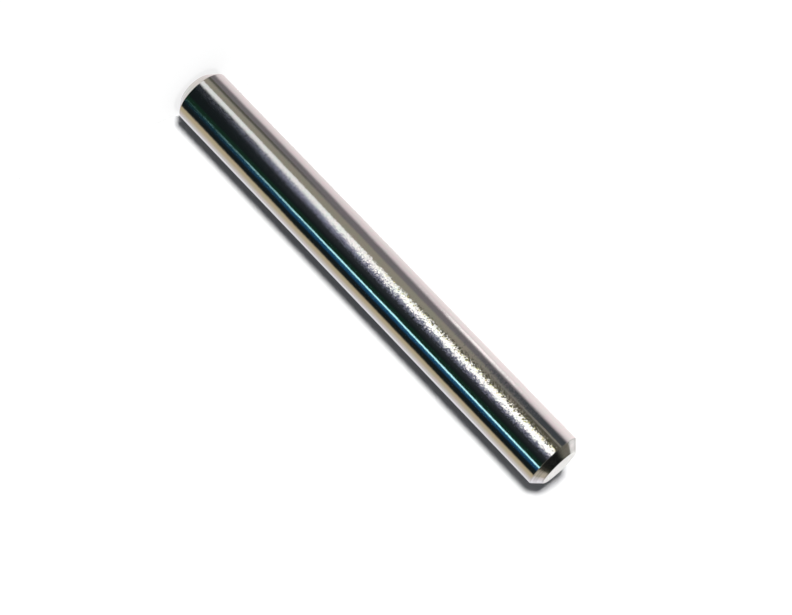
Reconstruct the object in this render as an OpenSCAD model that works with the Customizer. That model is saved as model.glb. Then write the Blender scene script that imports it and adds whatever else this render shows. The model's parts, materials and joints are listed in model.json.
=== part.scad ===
// Locking pin: one turned, hardened and ground steel pin.
// A plain parallel shank ends in a cone and a flat face at both ends, and
// each edge is broken by a small radius. The pin stands on its lower face:
// the origin is the centre of that face and +Z runs up the axis. Millimetres.

/* [Shank] */
// Diameter of the ground shank, the size that a hole fits
shank_d = 8; // [4:0.5:16]
// Length over the two end faces
pin_length = 70; // [30:1:120]

/* [Lower end] */
// How far the cone brings the radius in at the lower end
lower_chamfer = 1.2; // [0.5:0.1:1.8]
// Angle of the lower cone's surface to the axis
lower_chamfer_angle = 45; // [15:5:60]

/* [Upper end] */
// How far the cone brings the radius in at the upper end
upper_chamfer = 1.2; // [0.5:0.1:1.8]
// Angle of the upper cone's surface to the axis
upper_chamfer_angle = 45; // [15:5:60]

/* [Broken edges] */
// Radius where the shank turns into a cone
shoulder_radius = 0.15; // [0.05:0.05:0.3]
// Radius where a cone turns into its end face
rim_radius = 0.1; // [0.05:0.05:0.2]

/* [Hidden] */
// Any count above 12 turns a true circle: it sets only how fine the preview is
$fn = 96;
shank_r = shank_d / 2;

// How far along its two sides a corner's tangent arc begins
function arc_reach(radius, turn) = radius * tan(turn / 2);

// Radius and height above its end face of each corner of an end's outline,
// and of the four points where the two tangent arcs begin and stop
function rim_r(chamfer) = shank_r - chamfer;
function cone_height(chamfer, angle) = chamfer / tan(angle);
function along_cone(chamfer, angle, way) =
    [rim_r(chamfer) + way * sin(angle), way * cos(angle)];

// Half of the section of one end, from the axis out to the shank, with its
// face on the X axis and the shank's own side going up from it.
// The straight sides meet each arc where it is tangent to them.
module end_section(chamfer, angle, height) {
    rim_turn = 90 - angle;
    rim_reach = arc_reach(rim_radius, rim_turn);
    shoulder_reach = arc_reach(shoulder_radius, angle);
    slant = chamfer / sin(angle);
    shoulder_z = cone_height(chamfer, angle);

    polygon([
        [0, 0],
        [rim_r(chamfer) - rim_reach, 0],
        along_cone(chamfer, angle, rim_reach),
        along_cone(chamfer, angle, slant - shoulder_reach),
        [shank_r, shoulder_z + shoulder_reach],
        [shank_r, height],
        [0, height],
    ]);
    translate([rim_r(chamfer) - rim_reach, rim_radius])
        circle(r = rim_radius);
    translate([shank_r - shoulder_radius, shoulder_z + shoulder_reach])
        circle(r = shoulder_radius);
}

// The whole pin: each end's section runs to the middle of the shank, and
// the two are turned about the axis as one solid
module pin() {
    half_length = pin_length / 2;

    color([0.80, 0.80, 0.78])
    rotate_extrude() {
        end_section(lower_chamfer, lower_chamfer_angle, half_length);
        translate([0, pin_length])
            mirror([0, 1])
                end_section(upper_chamfer, upper_chamfer_angle, half_length);
    }
}

pin();
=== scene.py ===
# %% [markdown]
# # A locking pin on a studio table
#
# A locking pin is a plain steel rod that is pushed through two parts to hold them together. It is turned
# from bar, hardened and ground, and each end is coned so that it finds its hole. This lesson loads the
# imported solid, lays a fine surface of revolution over it, gives it a ground steel finish and lights it in a
# small studio.

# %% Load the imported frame
import json
import math

import bpy
import numpy as np
from mathutils import Matrix, Vector


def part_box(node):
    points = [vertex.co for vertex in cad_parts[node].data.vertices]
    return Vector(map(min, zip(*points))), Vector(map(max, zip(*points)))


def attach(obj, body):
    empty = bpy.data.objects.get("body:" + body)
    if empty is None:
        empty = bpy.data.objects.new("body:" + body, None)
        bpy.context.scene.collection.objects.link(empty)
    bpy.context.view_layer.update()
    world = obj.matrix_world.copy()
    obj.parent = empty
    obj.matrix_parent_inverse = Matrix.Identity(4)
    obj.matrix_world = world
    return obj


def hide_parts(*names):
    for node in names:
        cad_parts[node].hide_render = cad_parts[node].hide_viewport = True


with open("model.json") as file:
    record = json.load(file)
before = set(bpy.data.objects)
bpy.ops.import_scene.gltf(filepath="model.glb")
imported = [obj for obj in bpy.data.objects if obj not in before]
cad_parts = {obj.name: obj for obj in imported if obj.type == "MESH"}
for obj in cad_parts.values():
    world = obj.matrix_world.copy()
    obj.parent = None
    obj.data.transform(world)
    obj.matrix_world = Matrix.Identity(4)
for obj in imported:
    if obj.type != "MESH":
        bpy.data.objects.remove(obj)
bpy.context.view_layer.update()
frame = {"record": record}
MM = 0.001

# %% [markdown]
# ## Sizes
#
# The frame knows the pin's overall height and its shank mount, so those sizes are read and not typed again.
# The cone and the broken edges are the few sizes that the frame doesn't list. The straight wall stops short
# of the cone by the reach of the shoulder's arc, which gives back how deep the cone cuts in.

# %% Read the sizes of the pin
low_corner, high_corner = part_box("pin")
shank = next(mount for mount in frame["record"]["mounts"] if mount["name"] == "shank")
shank_r = shank["dims"]["r_mm"] * MM
pin_length = high_corner[2] - low_corner[2]
straight_length = shank["dims"]["length_mm"] * MM

cone_turn = math.radians(45)
shoulder_radius = 0.15 * MM
rim_radius = 0.10 * MM
shoulder_reach = shoulder_radius * math.tan(cone_turn / 2)
rim_reach = rim_radius * math.tan(cone_turn / 2)
cone_depth = (pin_length - straight_length) / 2 - shoulder_reach
print(
    f"shank {2 * shank_r / MM:.2f} mm across, {pin_length / MM:.1f} mm long, "
    f"cones {cone_depth / MM:.2f} mm"
)

# %% [markdown]
# ## The pin's surface
#
# On a lathe the tool follows one outline while the bar spins, so the natural form is a surface of
# revolution: one parameter runs along the outline, the other round the axis. A cylinder with bevelled edges
# would come close, but it leaves the bevel's width and its normals to the modifier. Here the outline is
# built from straight runs and arcs, so each size is the real one. Each point also keeps the outline's own
# normal, because a face's average normal would tilt the reflections near an edge, and a polished pin shows
# the smallest tilt.


# %% Straight runs and arcs
def run(start, stop, count):
    """Points spaced evenly on a straight line: start plus a share of the way to stop, without the last."""
    share = np.linspace(0, 1, count, endpoint=False)[:, None]
    return np.array(start) + share * (np.array(stop) - np.array(start))


def corner_arc(centre, radius, first_angle, turn, count):
    """Points on a circle: centre plus radius times the outward normal, whose angle grows evenly by turn."""
    angle = first_angle + np.linspace(0, turn, count)
    normal = np.stack([np.cos(angle), np.sin(angle)], axis=1)
    return np.array(centre) + radius * normal, normal


# %% [markdown]
# ## One end: face, rim, cone and shoulder
#
# The cone lets the pin find its hole. Where it meets the face and the shank the grinder leaves a hair-thin
# round, and that round is what catches the light as a fine line. Each round is an arc that is tangent to
# both of its neighbours: it starts one reach before the sharp corner and ends one reach after it.


# %% The outline of the lower end
def end_outline():
    """The outline from the lower face's centre to the shank, as points and normals (r, z): a run along the
    face, an arc over the rim, a run up the cone and an arc over the shoulder."""
    face_points, rim_points, cone_points, shoulder_points = 10, 7, 12, 9
    face_r = shank_r - cone_depth
    rim_centre = (face_r - rim_reach, rim_radius)
    shoulder_centre = (shank_r - shoulder_radius, cone_depth + shoulder_reach)
    slant = math.sin(cone_turn)
    cone_start = (face_r + rim_reach * slant, rim_reach * slant)
    cone_stop = (shank_r - shoulder_reach * slant, cone_depth - shoulder_reach * slant)
    face = run((0.0, 0.0), rim_centre[:1] + (0.0,), face_points)
    rim, rim_normal = corner_arc(rim_centre, rim_radius, -math.pi / 2, cone_turn, rim_points)
    cone = run(cone_start, cone_stop, cone_points)[1:]
    shoulder, shoulder_normal = corner_arc(
        shoulder_centre, shoulder_radius, cone_turn - math.pi / 2, cone_turn, shoulder_points
    )
    points = np.concatenate([face, rim, cone, shoulder])
    normals = np.concatenate([
        np.tile([0.0, -1.0], (len(face), 1)),
        rim_normal,
        np.tile([slant, -slant], (len(cone), 1)),
        shoulder_normal,
    ])
    return points, normals


lower_points, lower_normals = end_outline()
print(len(lower_points), "outline points at each end")

# %% [markdown]
# ## Both ends and the shank
#
# Both ends of this pin are alike, so the upper one is the lower one turned over and nothing is drawn twice.
# The shank between them is straight. It still gets rings of its own, so that its faces stay near square and
# shade evenly.


# %% The whole outline
def mirrored(points, normals):
    """The upper end is the lower one turned over: the height is taken from the top and the order reversed."""
    points = np.stack([points[:, 0], pin_length - points[:, 1]], axis=1)
    return points[::-1], (normals * [1.0, -1.0])[::-1]


def whole_outline(shank_rings=60):
    """Lower end, straight shank and upper end, joined into one outline."""
    upper_points, upper_normals = mirrored(lower_points, lower_normals)
    wall = run(lower_points[-1], upper_points[0], shank_rings)[1:]
    wall_normals = np.tile([1.0, 0.0], (len(wall), 1))
    return (
        np.concatenate([lower_points, wall, upper_points]),
        np.concatenate([lower_normals, wall_normals, upper_normals]),
    )


outline_points, outline_normals = whole_outline()
print(len(outline_points), "outline points in all")

# %% [markdown]
# ## Spin the outline
#
# A Screw modifier could spin it too, but it can't carry the outline's own normals. So the rings are worked
# out as one array, neighbours on two rings make a quad, and a fan of triangles closes each face at its
# middle. Quads and fans list their corners anticlockwise seen from outside, which points every face
# outwards.


# %% Carry the outline round the axis
def swept(pairs, angle):
    """Each pair (r, z) at angle a goes to (r cos a, r sin a, z), as one row of the result."""
    radius, height = pairs[:, :1], pairs[:, 1:]
    around = np.broadcast_arrays(radius * np.cos(angle), radius * np.sin(angle), height)
    return np.stack(around, axis=-1).reshape(-1, 3)


def turned_faces(ring_count, steps):
    """Corner (ring, step) is vertex ring times steps plus step. The two poles are the last two vertices."""
    around = np.arange(steps)
    onward = (around + 1) % steps
    lower = (np.arange(ring_count - 1) * steps)[:, None]
    upper = lower + steps
    quads = np.stack([lower + around, lower + onward, upper + onward, upper + around], axis=-1)
    bottom_pole, last_ring = ring_count * steps, (ring_count - 1) * steps
    lower_fan = np.stack([np.full(steps, bottom_pole), onward, around], axis=1)
    upper_fan = np.stack([np.full(steps, bottom_pole + 1), last_ring + around, last_ring + onward], axis=1)
    return quads.reshape(-1, 4).tolist() + lower_fan.tolist() + upper_fan.tolist()


def turned_mesh(name, points, normals, steps):
    """A surface of revolution. The first and last outline points lie on the axis, so each is one vertex."""
    angle = np.arange(steps) * 2 * np.pi / steps
    poles = [[0, 0, points[0, 1]], [0, 0, points[-1, 1]]]
    pole_normals = [[0, 0, -1], [0, 0, 1]]
    mesh = bpy.data.meshes.new(name)
    vertices = np.concatenate([swept(points[1:-1], angle), poles])
    mesh.from_pydata(vertices, [], turned_faces(len(points) - 2, steps))
    mesh.shade_smooth()
    mesh.normals_split_custom_set_from_vertices(np.concatenate([swept(normals[1:-1], angle), pole_normals]))
    return mesh


pin_mesh = turned_mesh("ground_pin", outline_points, outline_normals, steps=288)
ground_pin = bpy.data.objects.new("ground_pin", pin_mesh)
bpy.context.scene.collection.objects.link(ground_pin)
print(len(pin_mesh.polygons), "faces in the pin's surface")

# %% [markdown]
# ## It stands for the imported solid
#
# The new surface follows the solid exactly, so it takes the solid's place in the picture and rides on the
# same body. The solid stays in the simulation for contact, and a physics step never needs the fine mesh.

# %% Join the frame
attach(ground_pin, "root")
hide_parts("pin")

# %% [markdown]
# ## Shader sums that read as sums
#
# A finish is a sum of small patterns. Written with one node at a time it takes a page, so this class wraps
# one socket and lets plus, minus and times add the Math nodes. The `add` method makes any other kind of
# node.


# %% A wrapper for one socket
MIX_FACTOR, MIX_FIRST, MIX_SECOND, MIX_COLOUR = 0, 6, 7, 2


class Value:
    """One output socket of a shader tree, with arithmetic."""

    def __init__(self, tree, socket=None):
        self.tree, self.socket = tree, socket

    def add(self, kind, settings=None, sockets=None, output=0):
        """Makes a node of a kind: its settings first, then a value or a link for each named socket."""
        node = self.tree.nodes.new(kind)
        for name, setting in (settings or {}).items():
            setattr(node, name, setting)
        for name, value in (sockets or {}).items():
            if isinstance(value, Value):
                self.tree.links.new(value.socket, node.inputs[name])
            else:
                node.inputs[name].default_value = value
        return Value(self.tree, node.outputs[output] if node.outputs else None)

    def output(self, name):
        """Another output of the same node."""
        return Value(self.tree, self.socket.node.outputs[name])

    def maths(self, operation, *others):
        """A Math node that works on this value first and then on the others."""
        return self.add("ShaderNodeMath", {"operation": operation}, dict(enumerate((self,) + others)))

    def vector(self, operation, *others):
        """The same with a Vector Math node."""
        return self.add("ShaderNodeVectorMath", {"operation": operation}, dict(enumerate((self,) + others)))

    def __add__(self, other):
        return self.maths("ADD", other)

    __radd__ = __add__

    def __sub__(self, other):
        return self.maths("SUBTRACT", other)

    def __rsub__(self, other):
        return self.add("ShaderNodeMath", {"operation": "SUBTRACT"}, {0: other, 1: self})

    def __mul__(self, other):
        return self.maths("MULTIPLY", other)

    __rmul__ = __mul__

    def __neg__(self):
        return self * -1.0

    def __abs__(self):
        return self.maths("ABSOLUTE")

    def rises(self, start, stop):
        """0 below start and 1 above stop, with a smooth slope between."""
        return self.add(
            "ShaderNodeMapRange",
            {"interpolation_type": "SMOOTHSTEP"},
            {"Value": self, "From Min": start, "From Max": stop},
        )

    def blend(self, first, second):
        """The first colour where this value is 0 and the second where it is 1."""
        return self.add(
            "ShaderNodeMix",
            {"data_type": "RGBA"},
            {MIX_FACTOR: self, MIX_FIRST: first, MIX_SECOND: second},
            output=MIX_COLOUR,
        )


def empty_tree(owner):
    """Clears the shader tree of a material or a world and returns a Value to start from."""
    owner.use_nodes = True
    owner.node_tree.nodes.clear()
    return Value(owner.node_tree)


def components(vector):
    """The X, Y and Z of a vector."""
    split = vector.add("ShaderNodeSeparateXYZ", sockets={"Vector": vector})
    return split.output("X"), split.output("Y"), split.output("Z")


def degrees(value):
    """Radians to degrees."""
    return value * (180 / math.pi)


def bearing_of(x, y):
    """The direction round the axis in degrees: 0 at the front, -Y, and growing towards +X."""
    return degrees(x.maths("ARCTAN2", -y))


steel = bpy.data.materials.new("ground_steel")
start = empty_tree(steel)
print("an empty material:", steel.name)

# %% [markdown]
# ## Places on the pin
#
# Grinding and turning both leave marks that run round the axis, so the pattern needs to know how far along
# the outline a point is. On the shank that is the height. On a cone or a face the outline runs in towards
# the axis, so the radius is taken off. Reading Object coordinates keeps the marks the same size everywhere
# and leaves no seam.

# %% Coordinates along and round the pin
here = start.add("ShaderNodeTexCoord", output="Object")
x, y, z = components(here)
radius = (x * x + y * y).maths("SQRT")
from_middle = abs(z - pin_length / 2)
along = from_middle - radius
side = bearing_of(x, y)
edge_blend = 0.10 * MM
past_shank = (from_middle - straight_length / 2).rises(0.0, edge_blend)
print("coordinates:", len(steel.node_tree.nodes), "nodes")

# %% [markdown]
# ## Marks of the tools
#
# A grinding wheel leaves fine rings on the shank, and polishing takes most of them off again. The lathe
# leaves coarser rings on the cones and the faces. Polishing also leaves a slight orange peel, and the bar
# is never quite straight to the eye: a long wave makes the stripes of a reflection wander by a hair. Each
# one is noise. A pattern that changes fast along the outline and slowly across it makes rings. The sum is
# the height of the surface in millimetres.


# %% Rings, peel and waves
def noise(place, detail, **more):
    """Fractal noise between 0 and 1 at a place, with its layers of detail."""
    return place.add("ShaderNodeTexNoise", sockets={"Vector": place, "Detail": detail, **more})


def rings(per_mm, round_mm):
    """Noise that changes per_mm times in each millimetre along the outline, and once in round_mm across."""
    across = 1 / (round_mm * MM)
    place = here.add(
        "ShaderNodeCombineXYZ", sockets={"X": x * across, "Y": y * across, "Z": along * (per_mm / MM)}
    )
    return noise(place, detail=2.0, Scale=1.0, Roughness=0.6)


grinding = rings(per_mm=9.0, round_mm=2.5)
turning = rings(per_mm=5.0, round_mm=9.0)
peel = noise(here, detail=1.0, Scale=4.0 / MM, Roughness=0.6)
waves = noise(here, detail=0.0, Scale=0.25 / MM)
wave_depth, grinding_depth, peel_depth = 0.020, 0.0012, 0.002
turning_depth, end_peel_depth = 0.005, 0.005
height_mm = (
    waves * wave_depth
    + grinding * grinding_depth
    + peel * peel_depth
    + past_shank * (turning * turning_depth + peel * end_peel_depth)
)
print("tool marks:", len(steel.node_tree.nodes), "nodes")

# %% [markdown]
# ## Glitter
#
# Handling wears the front of the shank into tiny facets, each tilted its own way. In a soft highlight they
# are not seen, but at its edge some still catch the lamp and some have lost it, which is what makes steel
# glitter. Bump noise this fine would only blur, because a pixel averages its slopes. So each Voronoi cell,
# about a sixth of a millimetre wide, gets one random tilt: its colour, less one half, added to the normal.
# The wear is a patch on the front, strongest in the upper part, and the rest of the pin has a trace of it.

# %% Worn facets
facets_per_mm = 6.5
most_tilt = 0.11
trace = 0.12
patch = side.rises(-26.0, -18.0) * (1 - side.rises(2.0, 10.0)) * z.rises(22 * MM, 48 * MM)
wear = trace + (1 - trace) * patch * (1 - past_shank)

cells = here.add(
    "ShaderNodeTexVoronoi", sockets={"Vector": here, "Scale": facets_per_mm / MM}, output="Color"
)
lean = cells.vector("SUBTRACT", (0.5, 0.5, 0.5))
tilt = lean.add("ShaderNodeVectorMath", {"operation": "SCALE"}, {0: lean, "Scale": wear * most_tilt})
outward = here.add("ShaderNodeNewGeometry", output="Normal")
facets = outward.vector("ADD", tilt).vector("NORMALIZE")
print(f"facets {1 / facets_per_mm:.2f} mm wide, tilted by up to {math.degrees(most_tilt / 2):.1f} degrees")

# %% [markdown]
# ## Colour and gloss
#
# Bare steel is a light grey with a faint cast, which drifts between warm and cool where the film of oxide
# is thicker or thinner. A metal has no colour under its gloss, so Metallic is 1 and the Base Color tints
# what it reflects. The shank is nearly a mirror. The turned ends are a little duller, each of their rings
# gets a painted shade in its furrow, a darker grey in the Base Color, and the peel makes both uneven.

# %% The steel
rosy, greenish = (0.825, 0.785, 0.785, 1.0), (0.775, 0.805, 0.775, 1.0)
film = noise(here, detail=3.0, Scale=0.9 / MM, Roughness=0.75).rises(0.3, 0.7)
# Painted shade: the turned rings of the ends get a darker grey in the Base Color, as if shade lay in each
# furrow.
painted_furrow_grey, painted_furrow_share = (0.50, 0.48, 0.47, 1.0), 0.4
painted_furrow_shade = past_shank * turning.rises(0.42, 0.58) * painted_furrow_share
mirror_gloss, turned_gloss, peel_gloss = 0.080, 0.06, 0.03
surface = start.add(
    "ShaderNodeBump", sockets={"Strength": 1.0, "Distance": MM, "Height": height_mm, "Normal": facets}
)
shader = start.add(
    "ShaderNodeBsdfPrincipled",
    sockets={
        "Base Color": painted_furrow_shade.blend(film.blend(rosy, greenish), painted_furrow_grey),
        "Metallic": 1.0,
        "Roughness": mirror_gloss + peel * peel_gloss + past_shank * turned_gloss,
        "Normal": surface,
    },
)
start.add("ShaderNodeOutputMaterial", sockets={"Surface": shader})
ground_pin.data.materials.append(steel)
print("ground steel:", len(steel.node_tree.nodes), "nodes")

# %% [markdown]
# ## A studio made of directions
#
# A polished rod has almost no colour of its own: it shows the room. A product studio is white paper and
# grey and black cards, and each card becomes a stripe along the shank. Real cards would be large objects
# that each view has to avoid. Here the room is written into the world instead, as soft-edged cards, each
# given by its bearing round the pin and its height above the horizon in degrees. Later cards lie over
# earlier ones. An edge may lean, so that its stripe widens along the pin as it does where a card stands
# askew.


# %% A room of soft-edged cards
class Room:
    """Colour by direction, to which cards are added."""

    def __init__(self, start, colour):
        direction = start.add("ShaderNodeTexCoord", output="Generated")
        x, y, z = components(direction)
        self.bearing = bearing_of(x, y)
        self.height = degrees(z.maths("ARCSINE"))
        self.colour = start.add("ShaderNodeRGB")
        self.colour.socket.default_value = colour + (1.0,)

    def edge(self, start, stop, lean=0.0, low=-22.0, high=-9.0):
        """0 before the bearing start and 1 after stop. The edge moves by lean degrees between two heights."""
        if not lean:
            return self.bearing.rises(start, stop)
        shift = self.height.add(
            "ShaderNodeMapRange",
            sockets={"Value": self.height, "From Min": low, "From Max": high, "To Max": lean},
        )
        return (self.bearing - shift).rises(start, stop)

    def lay(self, colour, mask):
        self.colour = mask.blend(self.colour, colour + (1.0,))

    def card(self, colour, left, right, low=None, high=None):
        """Lays a colour between a left and a right edge, and between two heights."""
        mask = self.edge(*left) * (1 - self.edge(*right))
        if low:
            mask = mask * self.height.rises(*low)
        if high:
            mask = mask * (1 - self.height.rises(*high))
        self.lay(colour, mask)

    def above(self, colour, start, stop):
        """Lays a colour over every direction above a height, with a soft edge from start to stop."""
        self.lay(colour, self.height.rises(start, stop))

    def below(self, colour, start, stop, cover):
        """Lays a share, cover, of a colour over all that is below a height, soft from start down to stop."""
        self.lay(colour, cover * (1 - self.height.rises(stop, start)))


world = bpy.data.worlds.new("studio")
sky = empty_tree(world)
room = Room(sky, colour=(0.88, 0.80, 0.80))
print("a room in rosy white paper")

# %% [markdown]
# ## Paper behind and on the right
#
# The outermost stripes of a rod show what stands behind it, because light glances off its sides there. So
# most of the round is paper: rosy white behind, whiter where it stands higher, and beige close on the
# right, where the paper turns into shade. All tall cards share a hem near the floor and a crown overhead.

# %% White and beige paper
hem, crown = (-86, -78), (30, 50)
room.above((0.99, 0.90, 0.90), -19, -9)
room.above((0.97, 0.96, 0.95), -4, 4)
room.card((0.77, 0.68, 0.70), left=(-140, -110, 14, -15, -11.5), right=(86, 96), low=hem, high=crown)
room.card((0.50, 0.42, 0.27), left=(60, 80), right=(160, 179), low=hem, high=crown)
room.card((0.73, 0.70, 0.72), left=(102, 146), right=(160, 179), low=hem, high=crown)
room.card((0.86, 0.85, 0.91), left=(138, 156), right=(165, 179), low=hem, high=crown)
print("paper:", len(world.node_tree.nodes), "nodes")

# %% [markdown]
# ## Grey boards on the left
#
# A bright rod on white paper needs something dark beside it or its form is lost. Two boards stand on the
# left: a grey one with a brighter strip along its outer edge, and a darker one that only the upper part of
# the shank sees. Beige boards follow towards the front, in three heights, so the stripe changes along the
# pin.

# %% Grey and beige boards
grey, pale_strip, slate = (0.185, 0.168, 0.18), (1.32, 1.24, 1.24), (0.055, 0.062, 0.07)
room.card(grey, left=(-117, -95, 12, -20, -11), right=(86, 96), low=hem, high=crown)
room.card(pale_strip, left=(-113, -109), right=(-102, -92), low=(-13.5, -12.5), high=(-11.5, -10.5))
room.card(slate, left=(-94, -80), right=(-62, -52), low=(-12.5, -10), high=crown)
room.card((0.095, 0.095, 0.075), left=(-80, -76), right=(-72, -62), high=(-21, -17))
room.card((0.30, 0.28, 0.225), left=(-72, -60), right=(-20, -10), low=hem, high=(-12, -10.7))
room.card((0.28, 0.27, 0.215), left=(-62, -58), right=(-57, -53), low=(-10.5, -9), high=crown)
room.card((0.085, 0.08, 0.055), left=(-56, -50), right=(-20, -10), low=(-12.5, -9.5), high=crown)
print("boards:", len(world.node_tree.nodes), "nodes")

# %% [markdown]
# ## A dark front and one lamp
#
# In front there is nothing but the dark room, and that makes the broad dark stripe. The lamp hangs in it on
# the left, leaning, so its highlight crosses the shank at a small angle. Its light is yellow where it comes
# in over the edge of the shade, and a bluish glow spills from its other side.

# %% The dark front and the lamp
dark = (0.008, 0.012, 0.013)
lamp_right = (-34, -22, 20, -22, -13.5)
room.card(dark, left=(-42, -38, 10), right=(86, 98, 5, -22, -18), low=hem, high=crown)
room.card((0.022, 0.026, 0.030), left=(-20, -10), right=(14, 34), low=(-22, -18), high=crown)
room.card((0.30, 0.31, 0.43), left=(-40, -36, 10), right=(-26, 1, 14, -22, -16), low=(-23, -18), high=crown)
room.card((1.02, 0.94, 0.20), left=(-50, -46, 20), right=(-44, -40, 20), low=(-14.5, -12), high=(-7.5, -5))
room.card((0.85, 0.86, 0.86), left=(-47, -43, 20), right=lamp_right, low=hem, high=crown)
room.card((1.50, 1.48, 1.42), left=(-47, -43, 20), right=lamp_right, low=(-22, -9), high=crown)
print("the front:", len(world.node_tree.nodes), "nodes")

# %% [markdown]
# ## The line of a window
#
# A window far off in the dark gives the thin bright line that crosses the whole shank. Its glass is
# greenish on one side, and the evening sky beside it is blue.

# %% A window
room.card((0.008, 0.028, 0.016), left=(30, 42), right=(54, 68), low=hem, high=crown)
room.card((0.014, 0.080, 0.180), left=(52, 56), right=(60, 76), low=(-24, -17), high=crown)
room.card((0.72, 1.40, 1.50), left=(48, 50.5, 2), right=(53.5, 55.5, 2), low=(-22.5, -16), high=crown)
print("the window:", len(world.node_tree.nodes), "nodes")

# %% [markdown]
# ## Overhead and underfoot
#
# The cones look up at the ceiling and down at the floor. The ceiling is dark over the front, where the
# studio has its rafters, and paler over the back, with a grey fringe and a warm wall on the right. The
# floor is pale, but it takes a muted copy of every card that stands on it. Bearings meet at 180 degrees
# behind, so a card that crosses that line is laid in two halves.

# %% Ceiling and floor
room.card((0.45, 0.43, 0.43), left=(-165, -150), right=(-105, -95), low=(2, 6), high=(14, 20))
room.above((0.165, 0.16, 0.13), 36, 42)
room.card((0.46, 0.42, 0.34), left=(20, 60), right=(165, 179), low=(36, 42))
room.card((0.03, 0.03, 0.02), left=(20, 60), right=(165, 179), low=(51, 62))
room.above((0.003, 0.004, 0.004), 58, 74)
back_ceiling = (0.40, 0.39, 0.38)
room.card(back_ceiling, left=(105, 125), right=(181, 182), low=(62, 68))
room.card(back_ceiling, left=(-182, -181), right=(-125, -105), low=(62, 68))
room.below((0.76, 0.75, 0.70), -40, -54, cover=0.6)
print("the room:", len(world.node_tree.nodes), "nodes")

# %% [markdown]
# ## What each ray sees
#
# Only mirror-like rays see the cards, and they see them in place of the plain white that the camera sees. A
# ray that has already met something matt sees an even, dim grey instead, so that no card tints the paper
# and the lamps alone make the shadows. What is seen through glass would be plain white, as it is to the
# camera.

# %% The world's light
dim_grey, plain_white = (0.055, 0.060, 0.068, 1.0), (1.0, 1.0, 1.0, 1.0)
ray = sky.add("ShaderNodeLightPath", output="Is Camera Ray")
backdrop_white = ray + ray.output("Is Transmission Ray")
first_bounce = ray.output("Is Glossy Ray") * (1 - ray.output("Diffuse Depth")).maths("MAXIMUM", 0.0)
seen = first_bounce.blend(backdrop_white.blend(dim_grey, plain_white), room.colour)
light = sky.add("ShaderNodeBackground", sockets={"Color": seen, "Strength": 1.0})
sky.add("ShaderNodeOutputWorld", sockets={"Surface": light})
bpy.context.scene.world = world
print("the world:", len(world.node_tree.nodes), "nodes")

# %% [markdown]
# ## The table
#
# The pin stands on a wide sheet of white paper. Lit paper is never even, so most of this paper's white is a
# plain glow that lights nothing, and a small matt share on top takes the soft shadow at the foot of the
# pin. The glow is there for mirror-like rays too, but the stage is then left out of reflections on purpose.
# A polished rod that stands on white paper and is seen from above would show the paper and nothing else: it
# would turn plain white. So this pin shows the cards of the room in its place.


# %% Paper and the floor
def white_paper(name, matt_white, glow, one_sided=False):
    """A matt white plus a glow for camera, mirror-like and clear rays, which lights nothing. One-sided paper
    is clear when seen from behind."""
    material = bpy.data.materials.new(name)
    start = empty_tree(material)
    ray = start.add("ShaderNodeLightPath", output="Is Camera Ray")
    looking = ray + ray.output("Is Glossy Ray") + ray.output("Is Transmission Ray")
    matt = start.add("ShaderNodeBsdfDiffuse", sockets={"Color": (matt_white, matt_white, matt_white, 1.0)})
    lit = start.add("ShaderNodeEmission", sockets={"Color": plain_white, "Strength": looking * glow})
    paper = start.add("ShaderNodeAddShader", sockets={0: matt, 1: lit})
    if one_sided:
        clear = start.add("ShaderNodeBsdfTransparent")
        from_behind = start.add("ShaderNodeNewGeometry", output="Backfacing")
        paper = start.add("ShaderNodeMixShader", sockets={0: from_behind, 1: paper, 2: clear})
    start.add("ShaderNodeOutputMaterial", sockets={"Surface": paper})
    return material


def stage_sheet(name, corners, faces, paper):
    """A sheet that belongs to the studio. It blocks no light, and it is left out of reflections, which would
    otherwise be plain white: take the visible_glossy line away to see that."""
    mesh = bpy.data.meshes.new(name)
    mesh.from_pydata(corners, [], faces)
    mesh.materials.append(paper)
    sheet = bpy.data.objects.new(name, mesh)
    bpy.context.scene.collection.objects.link(sheet)
    sheet.visible_glossy = False
    sheet.visible_diffuse = False
    sheet.visible_shadow = False
    return mesh.polygons[0].normal


half = 4.0
table_corners = [(-half, -half, 0), (half, -half, 0), (half, half, 0), (-half, half, 0)]
floor_paper = white_paper("floor_paper", matt_white=0.18, glow=0.86)
table_faces = stage_sheet("floor", table_corners, [(0, 1, 2, 3)], floor_paper)
print("the table faces", [round(number, 2) for number in table_faces])

# %% [markdown]
# ## A sheet close behind
#
# A pin that lies on paper throws a soft shadow along its side. This one stands, so a white sheet stands
# with it, all but touching its back, and takes that shadow. Seen from the side, a shadow on a standing
# sheet looks like a strip in the air. So the sheet is edge-on from both sides and clear from behind, and it
# is folded by a hair along the line where it touches: from either side, one half then turns its clear back
# to the viewer, and the pin hides the other half.


# %% The backdrop
def level(bearing):
    """The level direction at a bearing: its sine along X and minus its cosine along Y."""
    return Vector((math.sin(bearing), -math.cos(bearing), 0))


facing, fold, quarter_turn = math.radians(-45), math.radians(1.2), math.radians(90)
gap, width, tall = 0.02 * MM, 0.5, Vector((0, 0, 0.5))
crease = -level(facing) * (shank_r + gap)
left = crease + width * level(facing - quarter_turn + fold)
right = crease + width * level(facing + quarter_turn - fold)
sheet_corners = [left, crease, right, left + tall, crease + tall, right + tall]
sheet_paper = white_paper("backdrop_paper", matt_white=0.98, glow=0.02, one_sided=True)
sheet_faces = stage_sheet("backdrop", sheet_corners, [(0, 1, 4, 3), (1, 2, 5, 4)], sheet_paper)
print("the backdrop faces", [round(number, 2) for number in sheet_faces])

# %% [markdown]
# ## Two softboxes
#
# The wider a lamp looks from the pin, the softer the shadow's edge. The front softbox lights the sheet from
# the left and a little from below, which throws the shadow to the right and up past the end. It is wider
# than it is tall: three round suns side by side, so that the shadow is soft along the shank and crisper
# past the end. The top one lights the table. A sun has the same strength everywhere, so the papers stay
# even. All are left out of reflections, because the world already holds the lamp that the steel shows.


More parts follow.
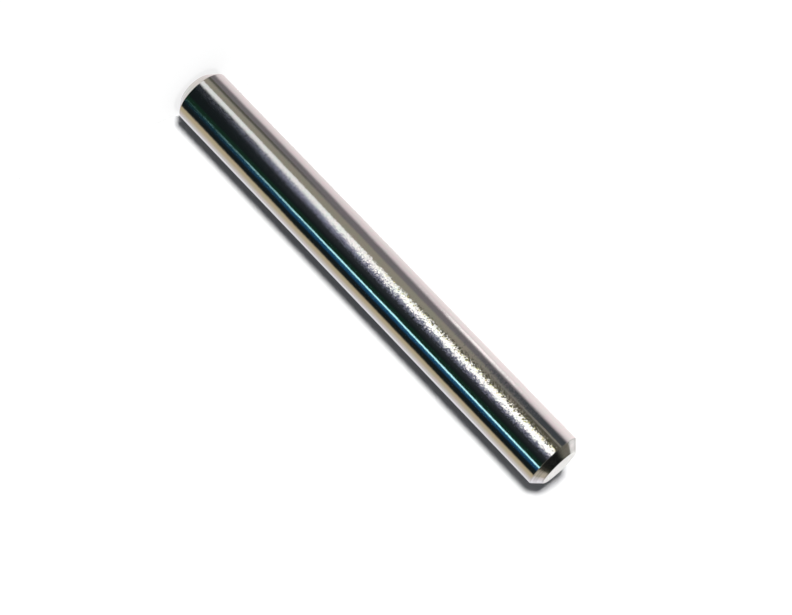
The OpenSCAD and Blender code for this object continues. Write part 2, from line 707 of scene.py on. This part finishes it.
# %% The lamps
def soft_sun(name, bearing, height, angle, strength):
    """A sun that stands at a bearing and a height and looks angle degrees wide."""
    lamp = bpy.data.lights.new(name, "SUN")
    lamp.angle = math.radians(angle)
    lamp.energy = strength
    place = bpy.data.objects.new(name, lamp)
    bearing, height = math.radians(bearing), math.radians(height)
    towards = level(bearing) * math.cos(height) + Vector((0, 0, math.sin(height)))
    place.rotation_euler = towards.to_track_quat("Z", "Y").to_euler()
    place.visible_glossy = False
    bpy.context.scene.collection.objects.link(place)
    print(f"{name}: strength {strength:.2f}, {angle} degrees wide")


for third, bearing in enumerate((-41.5, -35, -28.5)):
    soft_sun(f"front_softbox_{third}", bearing, height=-4, angle=12, strength=1.1)
soft_sun("top_softbox", bearing=165, height=85, angle=30, strength=3.0)

# %% [markdown]
# ## The camera
#
# The camera looks a little down on the pin from the front. It is rolled, so that the pin's axis runs up
# across the picture at a slant, with the upper end near. The roll is built from the pin's own direction as
# the camera sees it: the picture's right and up are that direction turned by the slant.

# %% The camera
camera_at = Vector((0.0, -0.2434, 0.1037))
looks_at = Vector((0.00088, 0.0, 0.04059))
axis_slope = math.radians(46.16)
lens_mm, sensor_mm = 89.16, 36.0

forward = (looks_at - camera_at).normalized()
up_the_pin = (Vector((0, 0, 1)) - forward * forward.z).normalized()
across_the_pin = forward.cross(up_the_pin)
right = up_the_pin * math.cos(axis_slope) - across_the_pin * math.sin(axis_slope)
up = right.cross(forward)
turn = Matrix((right, up, -forward)).transposed().to_4x4()

view = bpy.data.cameras.new("camera")
view.lens, view.sensor_width = lens_mm, sensor_mm
view.clip_start, view.clip_end = 0.01, 20.0
camera = bpy.data.objects.new("camera", view)
camera.matrix_world = Matrix.Translation(camera_at) @ turn
bpy.context.scene.collection.objects.link(camera)
bpy.context.scene.camera = camera
print(f"camera {1000 * (looks_at - camera_at).length:.0f} mm from the pin")

# %% [markdown]
# ## Finish
#
# The Standard view keeps each colour as it is written.

# %% The Standard view
bpy.context.scene.view_settings.view_transform = "Standard"
